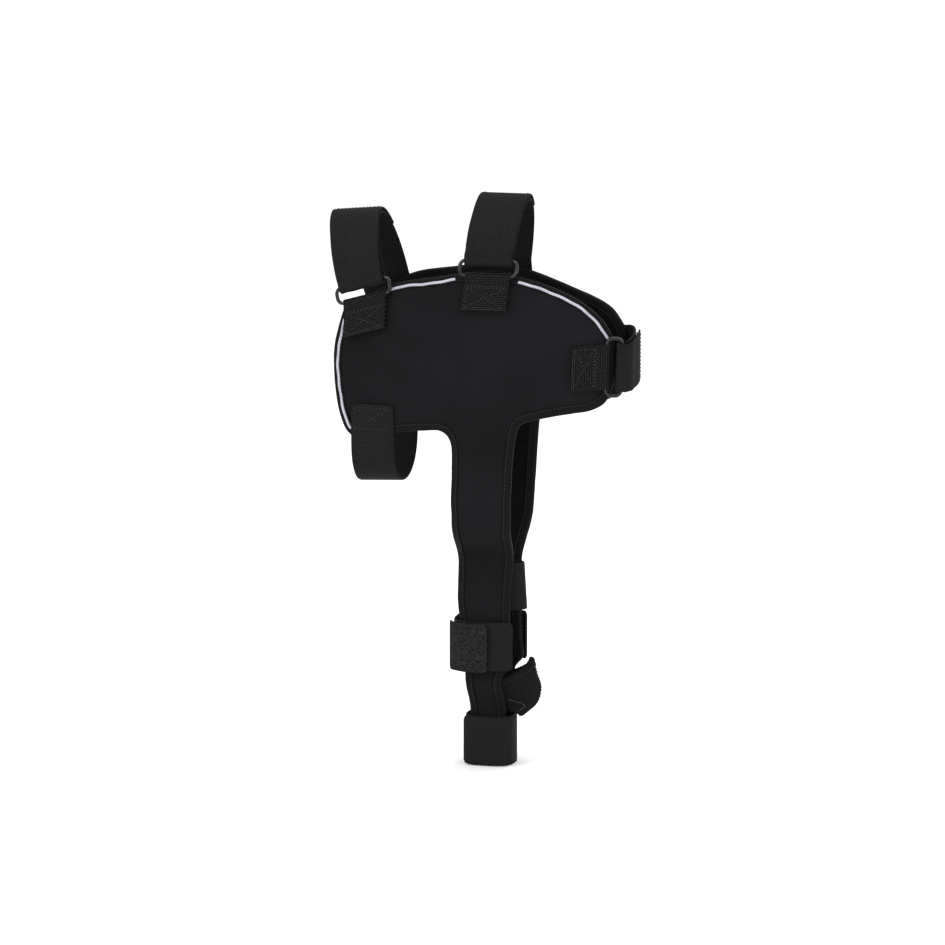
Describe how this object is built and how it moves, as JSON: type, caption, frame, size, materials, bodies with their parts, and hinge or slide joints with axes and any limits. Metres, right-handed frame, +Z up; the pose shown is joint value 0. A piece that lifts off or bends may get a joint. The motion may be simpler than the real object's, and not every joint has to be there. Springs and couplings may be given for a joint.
{
  "type": "dog hind leg brace",
  "caption": "Neoprene hind-leg brace of two T-shaped panels, with ring-and-strap fasteners over back and rump, a belly strap, shin and foot cuffs and a hock cup.",
  "frame": {"origin": "on the centre plane between the near and far panels, at mid height of the hip part, above the thigh", "axes": "+X towards the tail, -Y towards the side with the rings, +Z up"},
  "size_m": [0.2641, 0.102, 0.483],
  "materials": {
    "neoprene": "knit-faced neoprene, matt",
    "edge_binding": "stretch binding with a slight sheen",
    "reflective_piping": "grey reflective tape",
    "webbing": "coarse ribbed webbing",
    "elastic": "fine ribbed elastic",
    "hook_tape": "nylon hooks",
    "loop_tape": "brushed loop pile",
    "ring_metal": "gloss black coated wire"
  },
  "bodies": {
    "hip": {"near_hip_panel": "neoprene", "far_hip_panel": "neoprene", "near_hip_binding": "edge_binding", "far_hip_binding": "edge_binding", "near_reflective_piping": "reflective_piping", "far_reflective_piping": "reflective_piping", "front_ring_tab": "webbing", "middle_ring_tab": "webbing", "rump_ring_tab": "webbing", "front_strap": "elastic", "middle_strap": "elastic", "rump_strap": "elastic", "belly_strap": "elastic"},
    "shank": {"near_shank_panel": "neoprene", "far_shank_panel": "neoprene", "near_shank_binding": "edge_binding", "far_shank_binding": "edge_binding", "calf_band": "elastic", "shin_cuff": "elastic", "foot_cuff": "elastic", "near_hock_cup": "neoprene", "far_hock_cup": "neoprene", "hock_cup_binding": "edge_binding"},
    "front_ring": {"front_ring": "ring_metal"},
    "middle_ring": {"middle_ring": "ring_metal"},
    "rump_ring": {"rump_ring": "ring_metal"},
    "front_tongue": {"front_strap_tongue": "elastic", "front_hook_patch": "hook_tape"},
    "middle_tongue": {"middle_strap_tongue": "elastic", "middle_hook_patch": "hook_tape"},
    "rump_tongue": {"rump_strap_tongue": "elastic", "rump_hook_patch": "hook_tape"},
    "shin_tongue": {"shin_cuff_tongue": "loop_tape", "shin_hook_patch": "hook_tape"},
    "foot_tongue": {"foot_cuff_tongue": "elastic", "foot_hook_patch": "hook_tape"}
  },
  "joints": [
    {"name": "stifle_flex", "type": "hinge", "parent": "hip", "child": "shank", "pos_m": [0.008, 0, -0.15], "axis": [0, -1, 0], "range_deg": [-10, 40], "stiffness_Nm_per_rad": 0.1},
    {"name": "front_ring_pivot", "type": "hinge", "parent": "hip", "child": "front_ring", "pos_m": [-0.09153, -0.03832, 0.04623], "axis": [0.9585, -0.0762, 0.2748], "range_deg": [-5, 5]},
    {"name": "middle_ring_pivot", "type": "hinge", "parent": "hip", "child": "middle_ring", "pos_m": [0.01324, -0.03692, 0.06815], "axis": [0.9982, 0.0597, 0], "range_deg": [-5, 5]},
    {"name": "rump_ring_pivot", "type": "hinge", "parent": "hip", "child": "rump_ring", "pos_m": [0.11247, -0.03042, -0.005], "axis": [-0.0349, -0.0083, -0.9994], "range_deg": [-5, 5]},
    {"name": "front_strap_peel", "type": "hinge", "parent": "hip", "child": "front_tongue", "pos_m": [-0.09645, -0.03887, 0.0632], "axis": [0.9585, -0.0762, 0.2748], "range_deg": [0, 75]},
    {"name": "middle_strap_peel", "type": "hinge", "parent": "hip", "child": "middle_tongue", "pos_m": [0.0132, -0.03616, 0.08582], "axis": [0.9982, 0.0597, 0], "range_deg": [0, 75]},
    {"name": "rump_strap_peel", "type": "hinge", "parent": "hip", "child": "rump_tongue", "pos_m": [0.13014, -0.03043, -0.00562], "axis": [-0.0349, -0.0083, -0.9994], "range_deg": [0, 75]},
    {"name": "shin_cuff_peel", "type": "hinge", "parent": "shank", "child": "shin_tongue", "pos_m": [-0.02275, -0.02043, -0.245], "axis": [0, 0, -1], "range_deg": [0, 90]},
    {"name": "foot_cuff_peel", "type": "hinge", "parent": "shank", "child": "foot_tongue", "pos_m": [0.02775, -0.01529, -0.329], "axis": [0, 0, 1], "range_deg": [0, 90]}
  ]
}
